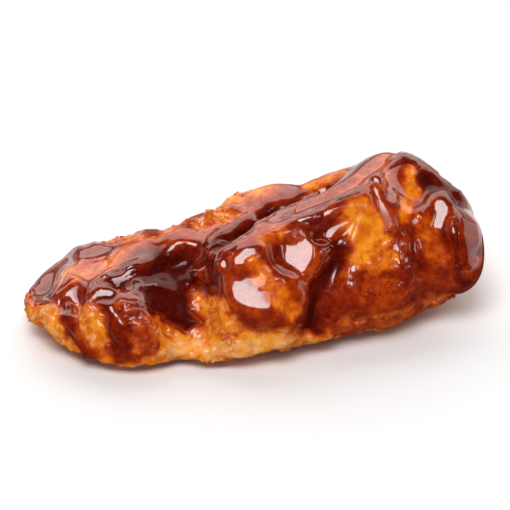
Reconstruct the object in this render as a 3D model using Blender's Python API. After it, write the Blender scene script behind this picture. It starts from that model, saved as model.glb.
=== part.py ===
"""A single fried and glazed chicken tender: a plump, uneven strip that lies on its flat underside.

The plain body is lofted from rounded sections along X. Lobes and creases, each given as a short path over
that body, then push its skin out or in, and the underside is cut off level where the tender rests.
Run with: blender --background --python part.py
"""

import math

import bmesh
import bpy
import numpy as np
from mathutils import Vector

MM = 0.001

# Driving dimensions
LENGTH = 104 * MM
TIP_ROUND = 19 * MM  # length over which the narrow end closes
HEEL_ROUND = 14 * MM  # length over which the thick end closes
END_SQUARENESS = 2.2  # 2 closes an end as an ellipse does, and more makes it blunter
UPPER_SQUARENESS = 2.1
LOWER_SQUARENESS = 2.6
WIDEST_AT = 0.4  # share of a section's height at which it is widest

# Mesh density
RINGS = 80
AROUND = 48

# The plain body's sections: (share of the length, crest height, underside height, half width,
# sideways drift of the middle), the last four in millimetres. The front is towards -Y.
STATIONS = (
    (0.00, 11.5, 2.4, 14.0, 8.5),
    (0.15, 16.6, -1.0, 17.5, 4.0),
    (0.30, 20.2, -1.6, 19.5, 1.0),
    (0.45, 23.5, -1.6, 20.8, -1.0),
    (0.60, 26.0, -1.6, 21.3, -2.0),
    (0.75, 28.0, -0.8, 20.8, -2.0),
    (0.88, 28.6, 3.0, 19.5, -1.5),
    (1.00, 25.0, 6.5, 17.0, -2.0),
)

# Lobes and creases: (what it is, how far it pushes the skin, its reach, its path), in millimetres.
# A path's points are (distance from the narrow end, angle from the front over the crest to the back).
PUSHES = (
    ("front crest", 3.0, 4.8, ((42, 70), (54, 78), (67, 82), (79, 90), (88, 102))),
    ("rear crest", 2.6, 4.4, ((12, 104), (28, 112), (46, 117), (62, 121))),
    ("hollow between the crests", -2.8, 3.8, ((32, 88), (45, 97), (57, 101), (70, 103))),
    ("bump behind the crest", 2.4, 4.6, ((74, 122), (78, 118))),
    ("paw", 2.2, 8.0, ((6, 58), (14, 46), (20, 24))),
    ("first toe crease", -1.4, 2.2, ((8, 44), (6, 22), (6, 8))),
    ("second toe crease", -1.4, 2.2, ((14, 40), (12, 22), (12, 8))),
    ("third toe crease", -1.3, 2.2, ((20, 36), (18, 22), (18, 8))),
    ("front hollow", -5.2, 5.0, ((34, 74), (31, 48), (30, 14))),
    ("tongue of the belly", 3.6, 5.8, ((45, 52), (50, 34), (52, 14))),
    ("upper belly", 2.4, 4.6, ((52, 62), (64, 69))),
    ("slanting crease", -3.8, 3.6, ((71, 62), (65, 44), (60, 24), (58, 6))),
    ("shoulder", 1.8, 6.0, ((74, 56), (76, 30))),
    ("heel ridge", 2.2, 2.6, ((82, 84), (81, 62), (81, 38), (80, 16))),
    ("heel hollow", -2.2, 2.8, ((88, 80), (87, 58), (86, 34))),
    ("heel lobe", 2.4, 5.0, ((96, 66), (96, 34), (94, 12))),
    ("back hollow", -3.8, 5.6, ((40, 134), (42, 152), (40, 172))),
    ("back lobe", 2.6, 7.0, ((58, 146), (64, 162))),
    ("back crease", -3.2, 3.4, ((72, 140), (78, 156), (76, 176))),
    ("back of the paw", 2.0, 6.5, ((16, 146), (24, 160))),
    ("back of the heel", 2.0, 6.5, ((90, 136), (94, 158))),
)


def along(share, column):
    """One column of STATIONS at a share of the length, on a smooth curve through the stations."""
    shares = [row[0] for row in STATIONS]
    values = [row[column] for row in STATIONS]
    last = len(shares) - 1
    i = min(max(int(np.searchsorted(shares, share)) - 1, 0), last - 1)
    step = shares[i + 1] - shares[i]

    def slope(k):
        low, high = max(k - 1, 0), min(k + 1, last)
        return (values[high] - values[low]) / (shares[high] - shares[low])

    u = (share - shares[i]) / step
    return (
        values[i] * (1 + 2 * u) * (1 - u) ** 2
        + slope(i) * step * u * (1 - u) ** 2
        + values[i + 1] * u * u * (3 - 2 * u)
        - slope(i + 1) * step * u * u * (1 - u)
    ) * MM


def closing(x):
    """How far the section has opened at x: 0 at either end, 1 along the body."""
    left = min(x / TIP_ROUND, 1.0)
    right = min((LENGTH - x) / HEEL_ROUND, 1.0)
    opened = 1.0
    for part in (left, right):
        opened *= (1 - (1 - part) ** END_SQUARENESS) ** (1 / END_SQUARENESS)
    return opened


def skin(x, angle):
    """The point of the plain body at x, at an angle from the front (0) over the crest (90) to the back (180)."""
    share = x / LENGTH
    crest, underside = along(share, 1), along(share, 2)
    open_by = closing(x)
    height = (crest - underside) * open_by
    half_width = along(share, 3) * open_by
    c, s = math.cos(math.radians(angle)), math.sin(math.radians(angle))
    power = 2 / (UPPER_SQUARENESS if s > 0 else LOWER_SQUARENESS)
    across = math.copysign(abs(c) ** power, c) * half_width
    up = abs(s) ** power * height * (1 - WIDEST_AT if s > 0 else -WIDEST_AT)
    middle = underside + (crest - underside) * WIDEST_AT
    return np.array([x, along(share, 4) - across, middle + up])


def ring_places():
    """X of each ring, closer together where an end closes."""
    turns = np.linspace(0, math.pi, RINGS + 2)[1:-1]
    even = np.linspace(0, 1, RINGS + 2)[1:-1]
    return LENGTH * (0.62 * (1 - np.cos(turns)) / 2 + 0.38 * even)


def plain_body():
    mesh = bmesh.new()
    rings = []
    for x in ring_places():
        angles = (360 * k / AROUND for k in range(AROUND))
        rings.append([mesh.verts.new(skin(x, angle)) for angle in angles])
    for near, far in zip(rings, rings[1:]):
        for k in range(AROUND):
            n = (k + 1) % AROUND
            mesh.faces.new((near[k], near[n], far[n], far[k]))
    for ring, x, turned in ((rings[0], 0.0, False), (rings[-1], LENGTH, True)):
        pole = mesh.verts.new(skin(x, 0))
        for k in range(AROUND):
            corners = (pole, ring[(k + 1) % AROUND], ring[k])
            mesh.faces.new(corners[::-1] if turned else corners)
    bmesh.ops.recalc_face_normals(mesh, faces=mesh.faces)
    return mesh


def distance_to_path(points, path):
    """How far each point is from a polyline."""
    nearest = np.full(len(points), np.inf)
    for start, end in zip(path, path[1:]):
        run = end - start
        share = np.clip((points - start) @ run / (run @ run), 0, 1)
        gap = np.linalg.norm(points - (start + share[:, None] * run), axis=1)
        nearest = np.minimum(nearest, gap)
    return nearest


def push_skin(mesh):
    """Moves each point along its normal by what all the lobes and creases near it add up to."""
    points = np.array([v.co for v in mesh.verts])
    normals = np.array([v.normal for v in mesh.verts])
    moved = np.zeros(len(points))
    for _, push, reach, places in PUSHES:
        path = [skin(x * MM, angle) for x, angle in places]
        moved += push * MM * np.exp(-((distance_to_path(points, path) / (reach * MM)) ** 2))
    for v, point in zip(mesh.verts, points + normals * moved[:, None]):
        v.co = point


def stand_level(mesh):
    """Cuts the underside off level at z = 0 and puts the middle of the bounding box over the origin."""
    for v in mesh.verts:
        v.co.z = max(v.co.z, 0.0)
    corners = np.array([v.co for v in mesh.verts])
    middle = (corners.min(axis=0) + corners.max(axis=0)) / 2
    bmesh.ops.translate(mesh, verts=mesh.verts, vec=Vector((-middle[0], -middle[1], 0)))


def glazed_crust():
    material = bpy.data.materials.new("glazed_crust")
    material.use_nodes = True
    shader = material.node_tree.nodes["Principled BSDF"]
    shader.inputs["Base Color"].default_value = (0.25, 0.045, 0.008, 1)
    shader.inputs["Roughness"].default_value = 0.25
    shader.inputs["Metallic"].default_value = 0.0
    return material


def main():
    for obj in list(bpy.data.objects):
        bpy.data.objects.remove(obj)
    mesh = plain_body()
    push_skin(mesh)
    stand_level(mesh)
    data = bpy.data.meshes.new("tender")
    mesh.to_mesh(data)
    mesh.free()
    data.shade_smooth()
    data.materials.append(glazed_crust())
    tender = bpy.data.objects.new("tender", data)
    bpy.context.scene.collection.objects.link(tender)


main()
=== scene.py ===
import math

import bmesh
import bpy
import numpy as np
from mathutils import Matrix, Vector, noise
from mathutils.bvhtree import BVHTree
from mathutils.kdtree import KDTree


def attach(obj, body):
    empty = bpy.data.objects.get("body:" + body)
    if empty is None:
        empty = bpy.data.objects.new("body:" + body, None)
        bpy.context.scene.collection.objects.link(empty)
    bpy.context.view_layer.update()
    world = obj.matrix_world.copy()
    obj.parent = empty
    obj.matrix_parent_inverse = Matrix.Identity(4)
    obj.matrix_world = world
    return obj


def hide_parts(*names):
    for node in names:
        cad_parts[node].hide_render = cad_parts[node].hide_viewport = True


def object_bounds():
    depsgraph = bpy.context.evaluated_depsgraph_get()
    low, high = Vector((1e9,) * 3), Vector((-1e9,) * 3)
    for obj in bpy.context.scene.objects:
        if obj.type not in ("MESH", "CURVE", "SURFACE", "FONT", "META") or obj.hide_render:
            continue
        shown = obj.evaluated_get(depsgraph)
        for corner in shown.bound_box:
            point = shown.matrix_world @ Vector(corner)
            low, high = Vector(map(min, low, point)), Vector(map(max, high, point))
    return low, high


# A glazed chicken tender. The batter crust is grown on a fine copy of the solid, and the
# glaze is a second skin over it: where the glaze is thick it stands proud and dark, where
# it is thin the batter glows through. Places on the tender are (millimetres from the
# narrow end, degrees from the front over the top to the back).

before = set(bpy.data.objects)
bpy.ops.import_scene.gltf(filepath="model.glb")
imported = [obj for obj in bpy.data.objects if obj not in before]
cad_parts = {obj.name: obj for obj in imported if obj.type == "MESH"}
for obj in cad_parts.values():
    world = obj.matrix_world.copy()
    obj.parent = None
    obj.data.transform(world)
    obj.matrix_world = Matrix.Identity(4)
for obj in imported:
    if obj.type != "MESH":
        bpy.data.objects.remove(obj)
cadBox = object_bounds()
mm = 0.001
low, high = cadBox
print("frame loaded, tender is", round((high[0] - low[0]) / mm, 1), "mm long")


class Wire:
    # a node's output, so that sums on outputs read as sums
    def __init__(self, bench, socket):
        self.bench = bench
        self.socket = socket

    def sum(self, operation, *values):
        return self.bench.add("ShaderNodeMath", {"operation": operation}, dict(enumerate(values)))

    def other(self, name):
        # another output of the same node
        return Wire(self.bench, self.socket.node.outputs[name])

    def __add__(self, other):
        return self.sum("ADD", self, other)

    def __radd__(self, other):
        return self.sum("ADD", other, self)

    def __sub__(self, other):
        return self.sum("SUBTRACT", self, other)

    def __rsub__(self, other):
        return self.sum("SUBTRACT", other, self)

    def __mul__(self, other):
        return self.sum("MULTIPLY", self, other)

    def __rmul__(self, other):
        return self.sum("MULTIPLY", other, self)

    def __truediv__(self, other):
        return self.sum("DIVIDE", self, other)

    def __rtruediv__(self, other):
        return self.sum("DIVIDE", other, self)


class Bench:
    # a node tree being wired up
    def __init__(self, tree):
        self.tree = tree

    def add(self, kind, settings=None, inputs=None, output=0):
        node = self.tree.nodes.new(kind)
        for name, value in (settings or {}).items():
            if name == "stops":
                stops = node.color_ramp.elements
                while len(stops) < len(value):
                    stops.new(0.5)
                for stop, (place, colour) in zip(stops, value):
                    stop.position = place
                    stop.color = (*colour, 1)
            else:
                setattr(node, name, value)
        for name, value in (inputs or {}).items():
            if isinstance(value, Wire):
                self.tree.links.new(value.socket, node.inputs[name])
            else:
                node.inputs[name].default_value = value
        return Wire(self, node.outputs[output]) if node.outputs else None

    def ease(self, value, start, end):
        # 0 below start, 1 above end, smooth between
        inputs = {"Value": value, "From Min": start, "From Max": end}
        return self.add("ShaderNodeMapRange", {"interpolation_type": "SMOOTHSTEP"}, inputs)

    def blended(self, share, first, second, way="MIX"):
        settings = {"data_type": "RGBA", "blend_type": way}
        return self.add("ShaderNodeMix", settings, {0: share, 6: first, 7: second}, 2)

    def grain(self, place, size, detail=3.0, roughness=0.55, output=0):
        # cloudy noise whose blobs are about size across
        inputs = {"Vector": place, "Scale": 1 / size, "Detail": detail, "Roughness": roughness}
        return self.add("ShaderNodeTexNoise", {"noise_dimensions": "3D"}, inputs, output)

    def vectors(self, operation, inputs):
        return self.add("ShaderNodeVectorMath", {"operation": operation}, inputs)

    def painted(self, attribute):
        # a number stored on the surface, read by a material
        return self.add("ShaderNodeAttribute", {"attribute_name": attribute}, output=2)

    def stored(self, attribute):
        # the same, read by a Geometry Nodes tree
        return self.add("GeometryNodeInputNamedAttribute", {"data_type": "FLOAT"}, {"Name": attribute})


def pointsOf(mesh):
    flat = np.empty(len(mesh.vertices) * 3)
    mesh.vertices.foreach_get("co", flat)
    return flat.reshape(-1, 3)


def movePoints(mesh, points):
    mesh.vertices.foreach_set("co", points.ravel())
    mesh.update()


def normalsOf(mesh):
    flat = np.empty(len(mesh.vertices) * 3)
    mesh.vertices.foreach_get("normal", flat)
    return flat.reshape(-1, 3)


def edgesOf(mesh):
    flat = np.empty(len(mesh.edges) * 2, int)
    mesh.edges.foreach_get("vertices", flat)
    return flat.reshape(-1, 2)


def neighbourMean(values, edges):
    # for each vertex, the mean of a value over its neighbours
    count = np.bincount(edges.ravel(), minlength=len(values)).astype(float)
    if values.ndim == 1:
        total = np.bincount(edges[:, 0], values[edges[:, 1]], len(values))
        total += np.bincount(edges[:, 1], values[edges[:, 0]], len(values))
        return total / count
    return np.stack([neighbourMean(column, edges) for column in values.T], axis=1)


def relaxed(values, edges, rounds, share=0.6):
    for _ in range(rounds):
        values = values + share * (neighbourMean(values, edges) - values)
    return values


def ease(value, start, end):
    part = np.clip((value - start) / (end - start), 0, 1)
    return part * part * (3 - 2 * part)


def cloud(points, size, seed):
    # one smooth random number per point, about -1 to 1, the same each run
    shift = Vector((seed * 7.31, seed * 3.17, seed * 5.23))
    return np.array([noise.noise(Vector(p) / size + shift) for p in points])


def cloudVector(points, size, seed):
    # a cloud of its own for each axis
    return np.stack([cloud(points, size, seed + step) for step in (0.0, 0.31, 0.67)], axis=1)


def setAttribute(mesh, name, values):
    attribute = mesh.attributes.get(name) or mesh.attributes.new(name, "FLOAT", "POINT")
    attribute.data.foreach_set("value", values.astype(np.float32))


def linked(name, mesh):
    piece = bpy.data.objects.new(name, mesh)
    bpy.context.scene.collection.objects.link(piece)
    return piece


def flattened(piece):
    # the piece as its modifiers make it, as a plain mesh
    bpy.context.view_layer.update()
    graph = bpy.context.evaluated_depsgraph_get()
    made = bpy.data.meshes.new_from_object(piece.evaluated_get(graph))
    piece.modifiers.clear()
    piece.data = made
    made.shade_smooth()
    return piece


def geometryTree(name, sizes):
    # a Geometry Nodes group with one named number input for each size
    tree = bpy.data.node_groups.new(name, "GeometryNodeTree")
    tree.interface.new_socket("Geometry", in_out="INPUT", socket_type="NodeSocketGeometry")
    tree.interface.new_socket("Geometry", in_out="OUTPUT", socket_type="NodeSocketGeometry")
    for key in sizes:
        tree.interface.new_socket(key, in_out="INPUT", socket_type="NodeSocketFloat")
    bench = Bench(tree)
    start = bench.add("NodeGroupInput")
    return tree, bench, start, {key: start.other(key) for key in sizes}


def runTree(piece, tree, sizes):
    modifier = piece.modifiers.new(tree.name, "NODES")
    modifier.node_group = tree
    for item in tree.interface.items_tree:
        if item.in_out == "INPUT" and item.name in sizes:
            modifier[item.identifier] = float(sizes[item.name])
    return flattened(piece)


bodySizes = {
    "cell": 0.44 * mm,
    "weld": 0.001 * mm,  # points nearer than this become one
    "meltRounds": 12,  # rounds of smoothing that melt the facets away
    "foldRounds": 3,  # and that round the folds off
    "swell": 0.40,
    "swellSize": 7.5 * mm,
    "ripple": 0.22,
    "rippleSize": 3.6 * mm,
    "levelBelow": 0.4 * mm,  # the resting face stays level
    "freeAbove": 3.5 * mm,
    "hollowRounds": 120,
    "flatShare": 0.8,  # how far the skin settles into the flats
    "flatMost": 1.2,
}


def evenBody():
    # the solid again in small even squares, with its facets melted away
    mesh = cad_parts["tender"].data.copy()
    mesh.materials.clear()
    body = linked("evenBody", mesh)
    work = bmesh.new()
    work.from_mesh(mesh)
    bmesh.ops.remove_doubles(work, verts=work.verts, dist=bodySizes["weld"])
    work.to_mesh(mesh)
    work.free()
    squares = body.modifiers.new("squares", "REMESH")
    squares.mode = "VOXEL"
    squares.voxel_size = bodySizes["cell"]
    flattened(body)
    points = relaxed(pointsOf(body.data), edgesOf(body.data), bodySizes["meltRounds"])
    movePoints(body.data, points)
    return body


body = evenBody()
edges = edgesOf(body.data)
print("body has", len(body.data.vertices), "points")

sectionStep = 2 * mm
cadPoints = pointsOf(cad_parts["tender"].data)
sectionPlaces = np.arange(low[0] + sectionStep, high[0], sectionStep)


def sectionMiddle(place):
    near = cadPoints[np.abs(cadPoints[:, 0] - place) < sectionStep]
    return (near.min(axis=0) + near.max(axis=0)) / 2


sectionMiddles = np.array([sectionMiddle(place) for place in sectionPlaces])


def middleAt(x):
    y = np.interp(x, sectionPlaces, sectionMiddles[:, 1])
    z = np.interp(x, sectionPlaces, sectionMiddles[:, 2])
    return y, z


def anglesOf(points):
    # degrees round the tender, from -90 under it to 270 under it again
    y, z = middleAt(points[:, 0])
    angles = np.degrees(np.arctan2(points[:, 2] - z, y - points[:, 1]))
    return (angles + 90) % 360 - 90


class Skin:
    # finds places on a mesh from (millimetres from the narrow end, degrees round)
    def __init__(self, mesh):
        self.tree = BVHTree.FromPolygons(
            [v.co for v in mesh.vertices], [face.vertices for face in mesh.polygons]
        )

    def spot(self, along, angle):
        x = low[0] + along * mm
        y, z = middleAt(x)
        turn = math.radians(angle)
        start = Vector((x, y, z))
        outward = Vector((0, -math.cos(turn), math.sin(turn)))
        hit = self.tree.ray_cast(start, outward)[0]
        return np.array(hit if hit else start)

    def path(self, places, step=1.5):
        # the route over the skin through these places, with a point about every step millimetres
        spots = []
        for (x0, a0), (x1, a1) in zip(places, places[1:]):
            pieces = max(1, round(max(abs(x1 - x0), abs(a1 - a0) * 0.35) / step))
            for i in range(pieces):
                share = i / pieces
                spots.append(self.spot(x0 + (x1 - x0) * share, a0 + (a1 - a0) * share))
        return np.array([*spots, self.spot(*places[-1])])


def nearestOn(points, route, reach):
    # how far each point is from a route, in metres, and the nearest place on it, within reach
    gaps = np.full(len(points), np.inf)
    places = np.array(points)
    lowest, highest = route.min(axis=0) - reach, route.max(axis=0) + reach
    picked = np.flatnonzero(np.all((points > lowest) & (points < highest), axis=1))
    close = points[picked]
    for start, end in zip(route, [*route[1:], route[-1]]):
        run = end - start
        share = np.clip((close - start) @ run / max(run @ run, 1e-12), 0, 1)
        spots = start + share[:, None] * run
        gap = np.linalg.norm(close - spots, axis=1)
        closer = gap < gaps[picked]
        gaps[picked[closer]] = gap[closer]
        places[picked[closer]] = spots[closer]
    return gaps, places


def gapTo(points, route, reach):
    return nearestOn(points, route, reach)[0]


# crisper folds than the solid has: (push, reach, route), all in millimetres
folds = {
    "edge of the top": (
        0.8, 2.0, ((40, 52), (47, 58), (54, 64), (63, 60), (70, 64), (76, 78), (84, 104)),
    ),
    "groove under the edge": (-0.6, 1.6, ((47, 48), (54, 52), (60, 50))),
    "slanting crease": (-1.7, 2.5, ((69, 40), (65, 18), (60.5, 6), (58, -6), (57, -18))),
    "second slanting crease": (-0.6, 1.4, ((52, 38), (53, 22), (56, 8))),
    "heel ridge": (0.9, 1.6, ((80, 94), (78.6, 70), (79, 48))),
    "groove behind the heel ridge": (-0.8, 1.5, ((85, 86), (82.5, 60), (82, 36))),
    "strip of the heel": (0.8, 1.6, ((90.5, 86), (87, 62), (84, 45))),
    "groove of the heel": (-0.9, 1.3, ((93.5, 82), (90.5, 56), (88, 36))),
    "rear edge of the top": (
        0.8, 1.6, ((10, 118), (24, 106), (37, 117), (44, 121), (53.4, 129), (63, 134)),
    ),
    "toe one": (0.6, 1.9, ((3, 34), (3, 2))),
    "groove of the first toe": (-0.6, 1.3, ((8.4, 34), (7.4, 10), (7.2, -12))),
    "toe two": (0.7, 1.5, ((11.2, 34), (10.8, 4), (10.6, -10))),
    "groove of the second toe": (-0.6, 1.3, ((15, 28), (14.6, 4), (14.4, -12))),
    "toe three": (0.6, 2.2, ((19, 26), (20, 0))),
    "hollow's far wall": (0.9, 2.2, ((38, 43), (38, 34), (37, 14))),
    "hollow's floor": (-1.7, 3.8, ((31, 64), (31, 42), (29.6, 18), (30.4, 2))),
    "tongue's border": (0.5, 1.1, ((41.5, 30), (41, 16), (41.6, 6))),
    "pinch in the paw": (-0.5, 1.8, ((24, 72), (18, 58), (12, 56))),
    "belly hollow": (-0.6, 2.2, ((48, 32), (50, 16), (53, 4))),
    "dip behind the crest": (-0.8, 3.0, ((40, 128), (47, 136))),
    "back fold": (-1.1, 2.2, ((44, 150), (42, 168), (44, 186))),
    "back ridge": (0.9, 2.2, ((50, 142), (53, 160), (52, 178))),
    "back crease": (-1.2, 1.7, ((70, 140), (74, 158), (71, 180))),
    "rear heel groove": (-0.9, 1.8, ((86, 112), (88, 136), (86, 160))),
    "valley on top": (-2.4, 2.5, ((45, 82), (50, 98), (55, 111), (62, 120), (69, 127))),
    "far side of the front crest": (-1.2, 2.4, ((46.5, 78), (51, 86), (56, 96), (61, 106))),
    "low tip": (-4.1, 5.0, ((7, 110), (13, 116), (17, 116))),
    "low back of the paw": (-2.2, 4.5, ((7, 140), (12, 150), (17, 138))),
    "dip behind the paw": (-2.5, 4.0, ((24, 124), (31, 124))),
    "low crest": (-1.5, 4.0, ((48, 128), (62, 134), (68, 138))),
    "behind the low crest": (-1.4, 2.8, ((49.5, 142), (53, 142))),
    "back of the middle": (1.2, 2.8, ((41, 138), (43, 140))),
    "before the heel": (-1.3, 3.4, ((76, 116), (82, 122))),
    "high heel": (2.5, 4.4, ((88, 112), (93, 102))),
    "heel's corner": (-2.2, 4.0, ((99, 104), (100.5, 74))),
    "heel's flank": (1.6, 5.0, ((96, 20), (97, -10), (93, -40))),
    "full paw": (0.9, 4.0, ((10, -16), (20, -20))),
    "heel's foot": (1.2, 4.0, ((78, -34), (90, -38))),
    "foot of the wedge": (1.1, 3.0, ((35, -26), (43, -26))),
    "under the tip": (-1.6, 3.0, ((1.5, -20), (3, -44))),
    "skirt's flange": (1.2, 1.7, ((30, -20), (40, -22), (52, -20), (62, -24))),
    "rear paw groove": (-0.9, 1.8, ((22, 138), (24, 158), (22, 176))),
}


def sharpenFolds(mesh):
    s = bodySizes
    skin = Skin(mesh)
    points = pointsOf(mesh)
    moved = np.zeros(len(points))
    for push, reach, places in folds.values():
        gap = gapTo(points, skin.path(places), 3 * reach * mm)
        moved += push * mm * np.exp(-((gap / (reach * mm)) ** 2))
    wander = s["swell"] * cloud(points, s["swellSize"], 1)
    wander += s["ripple"] * cloud(points, s["rippleSize"], 2)
    moved = (moved + wander * mm) * ease(points[:, 2], s["levelBelow"], s["freeAbove"])
    movePoints(mesh, points + normalsOf(mesh) * moved[:, None])
    movePoints(mesh, relaxed(pointsOf(mesh), edges, s["foldRounds"]))


rearCrest = ((37, 118), (44, 128), (47, 136), (51, 140), (55, 138), (60, 136), (64, 138))
valleyOnTop = ((46, 96), (48.5, 108), (51.5, 117), (54.5, 124), (60.5, 126))

# flats that the skin and the sauce settle into: (leans, radius in millimetres, places)
planes = {
    "top of the paw": ("up", 3.4, ((14, 118), (21, 100), (29, 88))),
    "rear crest": ("up", 1.8, ((30, 104), *rearCrest)),
    "front crest": ("up", 2.3, ((48, 68), (55, 75), (63, 80), (71, 88), (79, 106), (86, 120))),
    "valley on top": ("front", 2.8, (*valleyOnTop, (69, 130))),
    "streak over the paw": ("front", 1.8, ((18, 58), (26, 62), (34, 84))),
    "hollow": ("front", 4.6, ((31, 62), (32, 44), (31, 22), (31, 2))),
    "belly's window": ("front", 2.4, ((48.5, 38), (50, 24), (54, 6))),
    "shoulder": ("face", 5.2, ((73.5, 52), (76.5, 40), (77, 24), (75, 6))),
    "heel's front": ("face", 3.4, ((87.5, 32), (88, 20), (88, 6))),
    "dark of the heel": ("front", 1.9, ((94.5, 80), (96.5, 67), (97.5, 56))),
    "strip on the heel": ("aside", 1.7, ((89.5, 74), (87, 60), (84, 46))),
    "heel's right side": ("right", 3.6, ((98, 44), (98, 26), (97, 4))),
    "paw": ("key", 2.5, ((9, 74), (8.8, 60), (8.8, 40))),
    "second toe": ("key", 1.7, ((13.6, 41), (15.5, 37))),
    "over the paw": ("key", 0.8, ((22.6, 50), (23.4, 48))),
    "farther over the paw": ("key", 0.9, ((19, 76), (20.5, 74))),
    "by the rear crest": ("key", 1.2, ((41, 77), (44, 81))),
    "edge over the hollow": ("key", 1.1, ((36, 49), (38, 46.5))),
    "on along that edge": ("key", 1.1, ((39.6, 44.4), (41.4, 42.8))),
    "its middle": ("key", 0.9, ((42.6, 43), (44.4, 43))),
    "edge over the tongue": ("key", 0.7, ((45.3, 44.4), (47.2, 45.6))),
    "tongue": ("key", 2.6, ((44.5, 25), (43.6, 16), (47, 10))),
    "belly": ("key", 3.0, ((54.6, 36), (58.4, 28), (61.6, 34))),
    "streak": ("key", 1.6, ((62.8, 41), (66, 44), (70, 48.5))),
    "heel ridge": ("key", 1.2, ((79.6, 82), (78.6, 66), (79, 50), (79.4, 42))),
    "ring on the heel": ("key", 1.7, ((94, 52), (93, 42), (91.4, 31))),
    "heel bead": ("key", 1.5, ((85, 17),)),
}
# the way each kind faces: (azimuth, elevation)
leans = {
    "key": (-25, 48),  # halfway between the camera and the key light
    "up": (-20, 86),  # catches the back light
    "front": (4, 24),
    "aside": (-4, 32),
    "right": (34, 30),
    "face": (-2, 37),
}
oneFlat = ("key", "face")  # these are one flat each, the others follow their route
flatSizes = {
    "reach": 3.5,  # in radiuses
    "spread": 1.3,
    "steepest": 0.45,  # cosine of the widest turn from the skin
}


def outAt(azimuth, elevation, reach=1.0):
    # a point that far out, as seen from the tender: azimuth 0 is in front, elevation 90 above
    a, e = math.radians(azimuth), math.radians(elevation)
    return Vector((math.sin(a) * math.cos(e), -math.cos(a) * math.cos(e), math.sin(e))) * reach


def layPlanes(points, normals, strength, most):
    # how far each point moves along its normal to lie in the flats near it
    moved = np.zeros(len(points))
    weights = np.full(len(points), 1e-6)
    for lean, radius, places in planes.values():
        facing = np.array(outAt(*leans[lean]))
        gaps, nearest = nearestOn(points, skin.path(places), flatSizes["reach"] * radius * mm)
        spread = flatSizes["spread"] * radius * mm
        weight = np.exp(-((gaps / spread) ** (4 if lean in oneFlat else 2)))
        if lean in oneFlat:
            nearest = points[gaps < radius * mm].mean(axis=0)
        turned = np.maximum(normals @ facing, flatSizes["steepest"])
        drop = ((points - nearest) @ facing) / turned
        moved -= weight * weight * drop / radius**2  # small flats are cut into large ones
        weights += weight / radius**2
    return np.clip(moved / weights * strength, -most * mm, most * mm)


sharpenFolds(body.data)
for _ in range(2):
    skin = Skin(body.data)
    bodyPoints = pointsOf(body.data)
    bodyNormals = normalsOf(body.data)
    shifts = layPlanes(bodyPoints, bodyNormals, bodySizes["flatShare"], bodySizes["flatMost"])
    settled = bodyPoints + bodyNormals * shifts[:, None]
    movePoints(body.data, relaxed(settled, edges, bodySizes["foldRounds"]))
print("folds sharpened")

skin = Skin(body.data)
bodyPoints = pointsOf(body.data)
bodyNormals = normalsOf(body.data)
# how far each point lies below (+) or stands above (-) the skin around it
smoothSkin = relaxed(bodyPoints, edges, bodySizes["hollowRounds"])
hollowness = ((smoothSkin - bodyPoints) * bodyNormals).sum(axis=1) / mm


glazeSizes = {
    "sheet": 0.42,  # everything here is in millimetres, but for the shares
    "thinnest": 0.16,
    "film": 0.22,
    "lumps": 0.16,
    "rimRise": 0.9,
    "rimBead": 0.30,
    "rimBeadAt": 1.5,
    "rimBeadWidth": 0.9,
    "intoHollows": 0.55,  # share of a hollow that the glaze fills
    "offBumps": 0.42,  # share of a bump that shows through less glaze
    "buried": 0.55,  # how far its hidden part lies under bare batter
    "wander": 2.2,
    "wanderSize": 4.5,
    "fineWander": 0.4,  # share of the wander
    "fineWanderSize": 1.8,
    "levelRounds": 50,  # rounds of smoothing that thick glaze settles to
    "levelShare": 0.9,
    "flatShare": 0.9,
    "flatMost": 0.3,
}

# lower edge of the glaze on the front flank and on the back flank: (mm along, degrees round)
frontEdge = (
    (0, 40), (4, 44), (9, 34), (14, 32), (18, 30), (22, 24), (24, 8), (27.5, -5), (32, -11), (34.5, 4),
    (38, 22), (41, 8), (45, -2), (52, -6), (57, -20), (61, -20), (66, -10), (72, -14), (80, -18),
    (88, -18), (96, -24), (104, -30),
)
backEdge = (
    (0, 176), (8, 184), (14, 186), (20, 172), (26, 142), (30, 124), (37, 121), (44, 129), (50, 137),
    (56, 146), (61, 156), (66, 160), (70, 180), (76, 196), (82, 178), (88, 172), (94, 190), (104, 206),
)

# thick runs and pools: (radius, extra depth, route)
runs = {
    "first toe": (2.1, 0.7, ((8.6, 56), (7.2, 24), (7.0, 8), (8.0, -6), (9, -16))),
    "second toe": (2.0, 0.75, ((15, 50), (15, 28), (15.2, 6), (15.6, -12))),
    "hollow": (3.4, 0.5, ((33, 60), (33, 40), (32, 16), (31, -4))),
    "tongue": (4.0, 0.6, ((45, 38), (44, 24), (45, 8))),
    "tongue's lip": (1.3, 0.6, ((42, 16), (43.5, 6), (48, -1), (54, -3))),
    "crease": (2.4, 0.5, ((67, 32), (63, 15), (59, 3), (57, -14))),
    "belly drop": (2.8, 0.6, ((62, 42), (58, 34), (57, 20))),
    "edge of the top": (2.0, 0.4, ((38, 62), (47, 60), (58, 64), (68, 66), (78, 84))),
    "rear edge": (2.0, 0.4, ((8, 120), (22, 110), (38, 114), (52, 124), (62, 128))),
    "heel ridge": (1.3, 0.7, ((80, 90), (78.6, 66), (79, 40))),
    "behind the heel ridge": (1.5, 0.4, ((83, 66), (82, 46), (81, 20))),
    "heel bead": (2.2, 0.7, ((94, 60), (93, 42), (91, 26))),
    "heel end": (3.0, 0.5, ((98, 56), (98, 24), (96, -6))),
    "back run one": (2.0, 0.9, ((16, 128), (16, 158), (15, 186))),
    "back run two": (2.6, 0.9, ((42, 146), (42, 158), (44, 174), (45, 186))),
    "back dribble": (1.5, 0.7, ((31, 136), (31.5, 152), (30, 164))),
    "back run three": (3.2, 1.0, ((72, 146), (74, 160), (73, 186))),
    "back run four": (2.0, 0.8, ((96, 110), (95, 150), (96, 186))),
}

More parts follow.
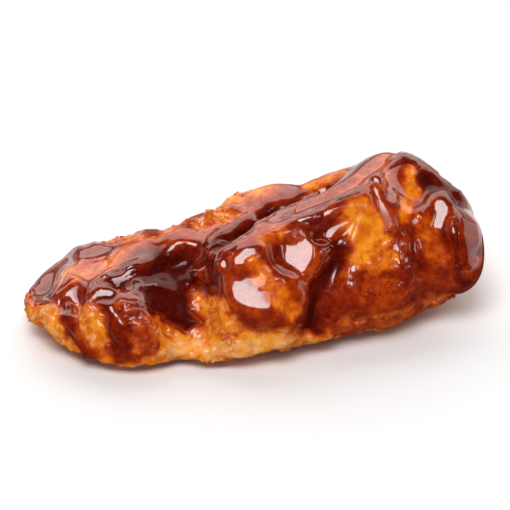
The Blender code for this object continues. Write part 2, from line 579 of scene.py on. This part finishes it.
# places where the glaze has slipped off to a film: (radius, how much has gone, route)
thinPlaces = {
    "belly": (2.6, 0.9, ((47, 36), (48.5, 20), (53, 4))),
    "belly's crown": (1.8, 0.7, ((51, 54), (55, 58))),
    "shoulder": (5.0, 1.0, ((73, 54), (76, 44), (76, 30), (75, 16), (74, 0))),
    "heel strip": (1.8, 0.9, ((90, 80), (87, 60), (84, 45))),
    "heel's foot": (3.4, 0.7, ((82, -8), (88, -10), (90, 4))),
    "paw": (1.4, 0.6, ((11.5, 60), (11.5, 36))),
    "behind the rear edge": (2.4, 0.9, ((24, 132), (36, 138), (46, 144))),
    "lobe behind the crest": (2.4, 0.8, ((69, 134), (76, 130))),
    "back lobe": (3.8, 0.9, ((58, 152), (61, 166), (60, 180))),
    "back heel": (3.4, 0.85, ((86, 142), (88, 160))),
    "back paw": (3.0, 0.8, ((26, 150), (28, 168))),
}


def glazeField():
    # signed distance to the glaze's edge, and how thick it is, in millimetres
    s = glazeSizes
    warp = cloudVector(bodyPoints, s["wanderSize"] * mm, 3) * s["wander"] * mm
    warp += cloudVector(bodyPoints, s["fineWanderSize"] * mm, 4) * s["fineWander"] * s["wander"] * mm
    points = bodyPoints + warp
    x = (points[:, 0] - low[0]) / mm
    angle = anglesOf(points)
    y, z = middleAt(points[:, 0])
    radius = np.hypot(points[:, 1] - y, points[:, 2] - z) / mm
    inFront = np.radians(angle - np.interp(x, *zip(*frontEdge))) * radius
    inBack = np.radians(np.interp(x, *zip(*backEdge)) - angle) * radius
    covered = np.minimum(inFront, inBack)
    extra = np.zeros(len(points))
    for width, depth, places in runs.values():
        gap = gapTo(points, skin.path(places), 3 * width * mm) / mm
        covered = np.maximum(covered, width * 1.15 - gap)
        extra = np.maximum(extra, depth * ease(width * 1.5 - gap, 0, width * 1.3))
    film = np.ones(len(points))
    for width, gone, places in thinPlaces.values():
        gap = gapTo(points, skin.path(places), 3 * width * mm) / mm
        film *= 1 - gone * ease(width * 1.4 - gap, 0, width * 1.1)
    return covered, extra, film


covered, extra, film = glazeField()


def edgeDistance(covered):
    # true distance in millimetres from each point to the glaze's edge, positive where it is glazed
    ends = covered[edges]
    crossing = (ends[:, 0] > 0) != (ends[:, 1] > 0)
    share = ends[crossing, 0] / (ends[crossing, 0] - ends[crossing, 1])
    first, second = (bodyPoints[edges[crossing, k]] for k in (0, 1))
    shore = first + (second - first) * share[:, None]
    tree = KDTree(len(shore))
    for i, place in enumerate(shore):
        tree.insert(place, i)
    tree.balance()
    gap = np.array([tree.find(p)[2] for p in bodyPoints]) / mm
    return np.where(covered > 0, gap, -gap)


shoreGap = edgeDistance(covered)

toneSizes = {
    "bare": 0.08,  # tones go from 0 for clean batter to 1 for the darkest pools
    "glazed": 0.70,
    "wander": 1.1,  # millimetres
    "wanderSize": 3.2,
    "fineWander": 0.4,
    "fineWanderSize": 1.3,
    "seep": 0.22,  # how much the batter darkens by the glaze
    "seepReach": 2.2,
    "mottle": 0.05,
    "mottleSize": 6,
    "hollows": 0.12,
}

# how deep the sauce's colour is there: (tone, radius, route)
bareTones = {
    # darker batter low on the front, under the shoulder and heel: painted shade as well as browner
    # batter
    "under the shoulder": (0.36, 6.0, ((64, -18), (80, -20), (102, -26))),
    # a tone below zero turns the batter pale: floury batter and painted sheen on the gold lobe and the
    # skirt
    "gold lobe": (-0.10, 3.0, ((2, 50), (3, 20), (3, -10))),
    "between the toes": (0.0, 1.4, ((11, 22), (10.6, -12))),
    "paw": (0.44, 3.0, ((19.5, 22), (20, 9), (21.5, -5))),
    "wedge": (0.12, 2.4, ((36, 10), (37, -1), (40, -14))),
    "skirt": (-0.16, 2.4, ((28, -17), (48, -18), (60, -22))),
    "back": (0.22, 7.0, ((24, 170), (50, 190), (90, 200))),
}
glazeTones = {
    "top of the paw": (0.33, 4.2, ((10, 122), (16, 114), (23, 104), (30, 96))),
    "rear crest": (0.54, 2.2, ((30, 102), *rearCrest)),
    "front crest": (0.56, 3.4, ((47, 64), (54, 74), (63, 74), (73, 82))),
    "heel's crest": (0.40, 2.6, ((75, 86), (80, 102), (87, 116))),
    "valley on top": (0.96, 2.8, ((43, 80), *valleyOnTop, (69, 129))),
    "streak over the paw": (0.84, 2.6, ((19, 54), (27, 58), (35, 84))),
    # the darkest glaze round and in the hollow is deep sauce and painted shade
    "round the hollow": (0.84, 6.8, ((28, 64), (30, 40), (29, 14))),
    "hollow": (1.0, 5.6, ((32, 56), (31, 38), (30, 18), (30.6, 0))),
    "first toe": (0.72, 2.4, ((8.4, 50), (7.0, 14), (8.4, -14))),
    "second toe": (0.78, 2.3, ((15, 38), (15, 14), (15.6, -12))),
    "tongue": (0.60, 3.6, ((43, 34), (44, 12))),
    "tongue's lip": (0.66, 2.0, ((40, 8), (42, 1), (46, -3), (52, -5))),
    "belly's crown": (0.36, 2.0, ((51, 53), (55, 58))),
    "belly": (0.56, 3.4, ((58, 40), (59, 26), (57, 14))),
    "belly's window": (0.30, 2.2, ((47, 37), (48.6, 20), (53, 3))),
    "shoulder's window": (0.12, 5.6, ((74.5, 47), (76, 40), (76.5, 28), (74.5, 12))),
    # the dark slanting crease is deep sauce and painted shade
    "slanting crease": (0.90, 3.0, ((67, 27), (64, 16), (60, 7), (57.6, -5), (57, -18))),
    "shoulder's foot": (0.66, 4.4, ((67, 0), (72, -4), (80, -2))),
    "under the window": (0.52, 3.0, ((68, 10), (73, -1), (79, 0))),
    "heel ridge": (0.56, 1.6, ((80, 88), (79, 66), (80, 40))),
    "behind the ridge": (0.56, 1.8, ((83.5, 66), (81.5, 44), (81, 24))),
    "heel's face": (0.44, 3.0, ((82, 96), (84, 80))),
    "strip on the heel": (0.18, 1.6, ((88, 62), (84, 46))),
    "top of the strip": (0.15, 2.4, ((90, 82), (88, 66))),
    "heel bulge": (0.38, 2.8, ((88, 28), (89, 6))),
    # dark glaze at the heel's foot, low on the front: painted shade as well as deeper sauce
    "heel's foot": (0.60, 3.4, ((80, -6), (86, -12), (93, -10))),
    "heel's edge": (0.74, 2.8, ((96, 50), (97, 30), (97, 8), (94, -14))),
    "dark of the heel": (0.92, 2.6, ((93, 82), (96, 68), (98, 54))),
    "lobe behind the crest": (0.24, 2.4, ((69, 134), (76, 130))),
    "back lobe": (0.12, 4.6, ((58, 148), (61, 166), (60, 182))),
    "back pool": (0.86, 2.6, ((42, 148), (42, 156), (43, 168))),
    "back crease": (0.86, 2.4, ((72, 148), (74, 160), (73, 184))),
    "back heel": (0.20, 3.4, ((86, 144), (88, 162))),
    "back paw": (0.24, 3.0, ((26, 146), (28, 166))),
}


def toned(start, strokes, points):
    tone = np.full(len(points), start)
    for target, radius, places in strokes.values():
        gap = gapTo(points, skin.path(places), 3 * radius * mm) / mm
        tone += (target - tone) * ease(radius * 1.3 - gap, 0, radius * 0.6)
    return tone


def sauceTone():
    s = toneSizes
    warp = cloudVector(bodyPoints, s["wanderSize"] * mm, 5) * s["wander"] * mm
    warp = warp + cloudVector(bodyPoints, s["fineWanderSize"] * mm, 7) * s["fineWander"] * mm
    bare = toned(s["bare"], bareTones, bodyPoints + warp)
    bare += s["seep"] * ease(shoreGap, -s["seepReach"], 0)
    glazed = toned(s["glazed"], glazeTones, bodyPoints + warp)
    glazed = glazed + s["mottle"] * cloud(bodyPoints, s["mottleSize"] * mm, 8)
    # darker where the skin is hollow, lighter on its bumps
    glazed += np.clip(hollowness, -0.6, 0.9) * s["hollows"]
    tone = bare + (glazed - bare) * ease(shoreGap, -0.3, 0.8)
    return relaxed(np.clip(tone, -0.2, 1), edges, 3)


sauce = sauceTone()
print("glaze mapped")


crustSizes = {
    "cragSize": 2.7 * mm,
    "cragHeight": 0.70 * mm,
    "grainSize": 0.95 * mm,
    "grainHeight": 0.15 * mm,
    "inset": 0.35 * mm,  # room for the glaze over it
    "seed": 3.0,
}


def crustTree(sizes):
    # crags and grains pushed out of the skin where the batter is bare, less under glaze
    tree, bench, start, size = geometryTree("crustRelief", sizes)
    place = bench.add("GeometryNodeInputPosition")
    shift = bench.add("ShaderNodeCombineXYZ", None, {0: size["seed"], 1: 0.0, 2: size["seed"]})
    shifted = bench.vectors("ADD", {0: place, 1: shift})
    bare = bench.stored("bareness")
    crag = bench.grain(shifted, size["cragSize"], 2.0, 0.6)
    pebbles = bench.add(
        "ShaderNodeTexVoronoi",
        {"feature": "SMOOTH_F1"},
        {"Vector": shifted, "Scale": 0.8 / size["grainSize"], "Smoothness": 0.35},
    )
    dust = bench.grain(shifted, size["grainSize"], 2.0, 0.6)
    cragRise = (crag - 0.5) * 2.6
    grainRise = (0.45 - pebbles) * 1.5 + (dust - 0.5) * 1.6
    rise = cragRise * size["cragHeight"] * (0.35 + 0.65 * bare)
    rise = rise + grainRise * size["grainHeight"] * (0.12 + 0.88 * bare)
    height = bench.add("ShaderNodeSeparateXYZ", None, {0: place}, 2)
    lifted = bench.ease(height, 0.2 * mm, 2.0 * mm)  # the resting face stays level
    rise = rise * lifted - size["inset"] * (1 - 0.6 * bare)
    offset = bench.vectors("SCALE", {0: bench.add("GeometryNodeInputNormal"), 3: rise})
    kept = bench.add(
        "GeometryNodeStoreNamedAttribute",
        {"data_type": "FLOAT", "domain": "POINT"},
        {"Geometry": start, "Name": "relief", "Value": rise / mm},
    )
    moved = bench.add("GeometryNodeSetPosition", None, {"Geometry": kept, "Offset": offset})
    real = bench.add("GeometryNodeRealizeInstances", None, {"Geometry": moved})
    done = bench.add("GeometryNodeSetMaterial", None, {"Geometry": real, "Material": batterCrust()})
    bench.add("NodeGroupOutput", None, {0: done})
    return tree


def emptyMaterial(name):
    material = bpy.data.materials.new(name)
    material.use_nodes = True
    material.node_tree.nodes.clear()
    return material, Bench(material.node_tree)


def batterColour(bench, place, tone, dry):
    # fried batter, with gold and amber patches, paler crumbs and browned bits, seen through the sauce;
    # the pale crumbs on dry batter and the pale wash where the tone runs below zero are partly painted
    # sheen
    gold = (0.92, 0.33, 0.016, 1)
    amber = (0.74, 0.19, 0.006, 1)
    brown = (0.38, 0.070, 0.006, 1)
    pale = (0.92, 0.52, 0.22, 1)
    even = (0.78, 0.23, 0.006, 1)
    patches = bench.ease(bench.grain(place, 6 * mm), 0.36, 0.64)
    colour = bench.blended(patches, gold, amber)
    # pale crumbs, more of them on dry batter, where they also stand for painted sheen
    crumbs = bench.ease(bench.grain(place, 1.6 * mm, 3.0, 0.6), 0.48, 0.66)
    colour = bench.blended(crumbs * (0.03 + 0.59 * dry), colour, pale)
    burnt = bench.ease(bench.grain(place, 2.4 * mm, 2.0, 0.6), 0.52, 0.70)
    colour = bench.blended(burnt * (0.2 + 0.22 * dry), colour, brown)
    colour = bench.blended(bench.ease(tone, 0.25, 0.6), colour, even)
    colour = bench.blended(bench.ease(tone, 0.0, -0.2) * 0.42, colour, pale)  # pale where the tone runs below zero: floury batter and painted sheen
    tints = (
        (0.00, (1.00, 1.00, 1.00)),
        (0.15, (0.96, 0.74, 0.55)),
        (0.30, (0.76, 0.40, 0.35)),
        (0.45, (0.54, 0.19, 0.30)),
        (0.60, (0.35, 0.085, 0.25)),
        (0.80, (0.18, 0.026, 0.16)),
        (1.00, (0.08, 0.011, 0.12)),
    )
    cloudy = bench.grain(place, 3.0 * mm, 3.0, 0.6) - 0.5
    streaks = bench.grain(place, 1.3 * mm, 3.0, 0.6) - 0.5
    fine = bench.grain(place, 0.7 * mm, 2.0, 0.6) - 0.5
    seen = tone + cloudy * 0.62 + streaks * 0.46 + fine * 0.26
    tint = bench.add("ShaderNodeValToRGB", {"stops": tints}, {0: seen})
    return bench.blended(1.0, colour, tint, "MULTIPLY")


def batterCrust():
    material, bench = emptyMaterial("batterCrust")
    place = bench.add("ShaderNodeTexCoord", output=3)
    # darker where the crust sinks below the skin, and darker towards the floor on the resting face
    tone = bench.painted("sauce") + bench.ease(bench.painted("relief"), 0.0, -0.6) * 0.22
    bare = bench.painted("bareness")
    colour = batterColour(bench, place, tone + bench.painted("underside") * 0.3, bare)
    rough = 0.16 + 0.22 * bare * bench.grain(place, 1.2 * mm)
    bumps = bench.grain(place, 0.5 * mm, 3.0, 0.6)
    relief = {"Height": bumps, "Distance": 0.25 * mm, "Strength": 0.35}
    bump = bench.add("ShaderNodeBump", None, relief)
    shader = bench.add(
        "ShaderNodeBsdfPrincipled",
        None,
        {
            "Base Color": colour,
            "Roughness": rough,
            "IOR": 1.45,
            "Specular IOR Level": 0.15,
            "Coat Weight": 1.0 - 0.55 * bare,
            "Coat Roughness": 0.10,
            "Normal": bump,
        },
    )
    bench.add("ShaderNodeOutputMaterial", None, {"Surface": shader})
    return material


def makeCrust():
    crust = linked("batterCrust", body.data.copy())
    mesh = crust.data
    bareness = np.maximum(ease(-shoreGap, -0.6, 0.8), (1 - film) * 0.2)
    setAttribute(mesh, "bareness", bareness)
    setAttribute(mesh, "sauce", sauce)
    setAttribute(mesh, "underside", 1 - ease(bodyPoints[:, 2], 0.3 * mm, 2.5 * mm))
    runTree(crust, crustTree(crustSizes), crustSizes)
    return crust


crust = makeCrust()
crustPoints = pointsOf(crust.data)
print("crust grown,", len(crust.data.polygons), "faces")


crumbSizes = {
    "perArea": 0.22e6,  # crumbs in a square metre of bare batter
    "smallest": 0.30 * mm,
    "largest": 0.85 * mm,
    "clump": 4 * mm,
    "ragged": 0.22 * mm,
    "raggedScale": 1 / (0.7 * mm),  # lumps of the raggedness in a metre
    "seed": 14.0,
}
floorGaps = {"crumbs": 0.05 * mm, "glaze": 0.02 * mm}  # kept free under them


def crumbTree(sizes):
    # crumbs of batter stuck on wherever the crust is bare
    tree, bench, start, size = geometryTree("crumbs", sizes)
    place = bench.add("GeometryNodeInputPosition")
    clumps = bench.ease(bench.grain(place, size["clump"]), 0.40, 0.58)
    bare = bench.ease(bench.stored("bareness"), 0.7, 1.0)
    density = size["perArea"] * bare * (1 - bench.stored("underside")) * clumps
    scattered = bench.add(
        "GeometryNodeDistributePointsOnFaces",
        None,
        {"Mesh": start, "Density": density, "Seed": size["seed"]},
    )
    ball = bench.add("GeometryNodeMeshUVSphere", None, {"Segments": 8, "Rings": 5, "Radius": 1.0})
    big = bench.add("FunctionNodeRandomValue", {"data_type": "FLOAT"}, {2: 0.0, 3: 1.0, "Seed": 3}, 1)
    across = size["smallest"] + (size["largest"] - size["smallest"]) * big * big * big
    sides = {0: (0.7, 0.6, 0.4), 1: (1.3, 1.1, 0.8), "Seed": 5}
    flat = bench.add("FunctionNodeRandomValue", {"data_type": "FLOAT_VECTOR"}, sides)
    scale = bench.vectors("SCALE", {0: flat, 3: across})
    placed = bench.add(
        "GeometryNodeInstanceOnPoints",
        None,
        {
            "Points": scattered,
            "Instance": ball,
            "Rotation": scattered.other("Rotation"),
            "Scale": scale,
        },
    )
    real = bench.add("GeometryNodeRealizeInstances", None, {"Geometry": placed})
    ragged = {"Vector": place, "Scale": size["raggedScale"], "Detail": 2.0, "Roughness": 0.6}
    push = bench.add("ShaderNodeTexNoise", {"noise_dimensions": "3D"}, ragged, 1)
    centred = bench.vectors("SUBTRACT", {0: push, 1: (0.5, 0.5, 0.5)})
    offset = bench.vectors("SCALE", {0: centred, 3: size["ragged"] * 4})
    moved = bench.add("GeometryNodeSetPosition", None, {"Geometry": real, "Offset": offset})
    batter = bpy.data.materials["batterCrust"]
    done = bench.add("GeometryNodeSetMaterial", None, {"Geometry": moved, "Material": batter})
    bench.add("NodeGroupOutput", None, {0: done})
    return tree


def makeCrumbs():
    crumbs = linked("crumbs", crust.data.copy())
    runTree(crumbs, crumbTree(crumbSizes), crumbSizes)
    points = pointsOf(crumbs.data)
    points[:, 2] = np.maximum(points[:, 2], floorGaps["crumbs"])
    movePoints(crumbs.data, points)
    return crumbs


crumbs = makeCrumbs()
print("crumbs scattered,", len(crumbs.data.polygons), "faces")


def darkGlaze():
    material, bench = emptyMaterial("darkGlaze")
    place = bench.add("ShaderNodeTexCoord", output=3)
    colour = batterColour(bench, place, bench.painted("sauce"), 0.0)
    pool = bench.ease(bench.painted("sauce"), 0.78, 0.95)  # the darkest pools shine less
    thin = 1 - bench.painted("film")
    rough = 0.15 + 0.08 * bench.grain(place, 3 * mm) + 0.06 * pool + 0.28 * thin
    ripples = bench.grain(place, 4 * mm, 1.0, 0.5) * 0.16
    ripples = ripples + bench.grain(place, 1.9 * mm, 1.0, 0.5) * 0.05
    ripples = ripples + bench.grain(place, 0.9 * mm, 2.0, 0.6) * 0.075
    ripples = ripples + bench.grain(place, 0.6 * mm, 2.0, 0.6) * thin * 0.10
    relief = {"Height": ripples, "Distance": 1 * mm, "Strength": 1.0}
    bump = bench.add("ShaderNodeBump", None, relief)
    shader = bench.add(
        "ShaderNodeBsdfPrincipled",
        None,
        {
            "Base Color": colour,
            "Roughness": rough,
            "IOR": 1.45,
            "Specular IOR Level": 0.07,
            "Coat Weight": (0.95 - 0.7 * pool) * (1 - 0.9 * thin),
            "Coat Roughness": 0.08,
            "Normal": bump,
        },
    )
    bench.add("ShaderNodeOutputMaterial", None, {"Surface": shader})
    return material


def makeGlaze():
    s = glazeSizes
    near = relaxed(crustPoints, edges, 3)  # the skin that thin glaze follows
    level = relaxed(near, edges, s["levelRounds"])  # and the smoother one of thick glaze
    thick = relaxed(ease(shoreGap, 0.3, 3.0) * (0.6 + 0.4 * film), edges, 6)
    settled = thick[:, None] * s["levelShare"]
    flow = near + (level - near) * settled
    glaze = linked("glaze", body.data.copy())
    movePoints(glaze.data, flow)
    normals = normalsOf(glaze.data)
    filled = np.clip(hollowness, 0, 1.2) * s["intoHollows"]
    filled = filled - np.clip(-hollowness, 0, 1.2) * s["offBumps"]
    depth = s["sheet"] + extra + filled + s["lumps"] * cloud(bodyPoints, 5 * mm, 6)
    depth = np.maximum(depth, s["thinnest"]) * film + s["film"] * (1 - film)
    rim = np.clip(shoreGap / s["rimRise"], 0, 1)
    rounded = np.sqrt(1 - (1 - rim) ** 2)
    bead = s["rimBead"] * np.exp(-(((shoreGap - s["rimBeadAt"]) / s["rimBeadWidth"]) ** 2)) * film
    depth = np.where(shoreGap > 0, (depth + bead) * rounded, 0)
    depth = depth - s["buried"] * ease(-shoreGap, -0.05, 0.6)
    depth = relaxed(depth, edges, 2)
    points = flow + normals * depth[:, None] * mm
    smoother = relaxed(points, edges, 4)
    points += (smoother - points) * ease(shoreGap, 0.4, 1.6)[:, None]
    for _ in range(2):  # the sauce levels itself into the flats
        movePoints(glaze.data, points)
        normals = normalsOf(glaze.data)
        shifts = layPlanes(points, normals, s["flatShare"], s["flatMost"])
        points = points + normals * shifts[:, None]
        points += (relaxed(points, edges, 4) - points) * ease(shoreGap, 0.5, 1.8)[:, None]
    points[:, 2] = np.maximum(points[:, 2], floorGaps["glaze"])
    movePoints(glaze.data, points)
    setAttribute(glaze.data, "sauce", sauce)
    setAttribute(glaze.data, "film", film)
    glaze.data.materials.append(darkGlaze())
    glaze.data.shade_smooth()
    return glaze


glaze = makeGlaze()
print("glaze poured")


def plainFloor():
    material = bpy.data.materials.new("plainFloor")
    material.use_nodes = True
    shader = material.node_tree.nodes["Principled BSDF"]
    shader.inputs["Base Color"].default_value = (0.90, 0.90, 0.90, 1)
    shader.inputs["Roughness"].default_value = 0.7
    shader.inputs["Specular IOR Level"].default_value = 0.2
    return material


studioSizes = {"floorReach": 1.3, "aimHeight": 0.015, "ambient": 0.03}


def makeFloor():
    reach = studioSizes["floorReach"]
    mesh = bpy.data.meshes.new("floor")
    corners = [(-reach, -reach, 0), (reach, -reach, 0), (reach, reach, 0), (-reach, reach, 0)]
    mesh.from_pydata(corners, [], [(0, 1, 2, 3)])
    mesh.materials.append(plainFloor())
    return linked("floor", mesh)


def aimed(piece, place, aim):
    direction = (Vector(place) - Vector(aim)).normalized()
    turn = direction.to_track_quat("Z", "Y").to_matrix().to_4x4()
    piece.matrix_world = Matrix.Translation(place) @ turn
    return piece


white = (1, 1, 1)
# (what it is for, azimuth, elevation, distance, width, height, watts, colour)
softboxes = {
    "second key": ("both", 20, 56, 0.9, 0.10, 0.26, 0.5, white),
    "key": ("lighting", -34, 64, 0.95, 0.50, 0.44, 6.2, white),
    "back light": ("lighting", 160, 46, 1.1, 2.2, 1.1, 13.0, white),
    "front fill": ("lighting", -30, 25, 1.2, 1.2, 0.8, 1.7, white),
    "key's glow": ("reflection", -34, 64, 0.85, 0.40, 0.35, 5.7, white),
    "glow behind": ("reflection", 160, 47, 0.9, 1.8, 0.80, 12.8, (1.0, 0.90, 0.84)),
    "glow on the right": ("reflection", 88, 11, 1.0, 0.8, 0.5, 2.1, (1.0, 0.84, 0.78)),
    "glow on the left": ("reflection", -112, 16, 1.0, 0.5, 0.9, 1.1, (1.0, 0.79, 0.64)),
    "horizon": ("both", 160, 6, 1.6, 3.2, 0.5, 3.2, (1.0, 0.88, 0.80)),
}
# glowing cards on the floor: (azimuth, nearest edge, depth, width, brightness)
floorCards = {
    "card behind": (160, 0.04, 0.92, 2.0, 0.9),
    "card on the right": (84, 0.10, 0.46, 0.6, 0.8),
    "card on the left": (-112, 0.10, 0.46, 0.6, 0.8),
}


def softbox(name, azimuth, elevation, reach, width, height, power, colour):
    light = bpy.data.lights.new(name, "AREA")
    light.color = colour
    light.shape = "RECTANGLE"
    light.size = width
    light.size_y = height
    light.energy = power
    lamp = bpy.data.objects.new(name, light)
    bpy.context.scene.collection.objects.link(lamp)
    return aimed(lamp, outAt(azimuth, elevation, reach), (0, 0, studioSizes["aimHeight"]))


def floorCard(name, azimuth, near, deep, wide, brightness):
    # a glowing card lying on the floor, out of the camera's sight, that the rims of the glaze reflect
    card = softbox(name, azimuth, 0, 1, wide, deep, brightness * math.pi * wide * deep, white)
    place = outAt(azimuth, 0, near + deep / 2) + Vector((0, 0, 0.001))
    turn = Matrix.Rotation(math.radians(azimuth), 4, "Z") @ Matrix.Rotation(math.pi, 4, "X")
    card.matrix_world = Matrix.Translation(place) @ turn
    card.visible_camera = False
    return card


cameraSizes = {"azimuth": -20, "elevation": 34, "lens": 200, "distance": 0.645}


def makeCamera():
    lens = bpy.data.cameras.new("camera")
    lens.lens = cameraSizes["lens"]
    lens.clip_end = 20
    camera = bpy.data.objects.new("camera", lens)
    bpy.context.scene.collection.objects.link(camera)
    aim = Vector(np.add(low, high) / 2)
    place = aim + outAt(cameraSizes["azimuth"], cameraSizes["elevation"], cameraSizes["distance"])
    aimed(camera, place, aim)
    bpy.context.scene.camera = camera


def makeStudio():
    floor = makeFloor()
    floor.visible_glossy = False
    for name, (purpose, *place) in softboxes.items():
        lamp = softbox(name, *place)
        lamp.visible_glossy = purpose != "lighting"
        lamp.visible_diffuse = purpose != "reflection"
    for name, place in floorCards.items():
        floorCard(name, *place)
    world = bpy.data.worlds.new("studio")
    world.use_nodes = True
    bench = Bench(world.node_tree)
    seen = bench.add("ShaderNodeLightPath")  # white to look at, but the softboxes do the lighting
    backdrop = world.node_tree.nodes["Background"]
    backdrop.inputs["Color"].default_value = (1, 1, 1, 1)
    ambient = studioSizes["ambient"]
    strength = ambient + (1 - ambient) * seen
    world.node_tree.links.new(strength.socket, backdrop.inputs["Strength"])
    bpy.context.scene.world = world
    bpy.context.scene.view_settings.view_transform = "Standard"


makeStudio()
makeCamera()

bpy.data.objects.remove(body)
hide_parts("tender")
for piece in (crust, crumbs, glaze):
    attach(piece, "root")


print("done")
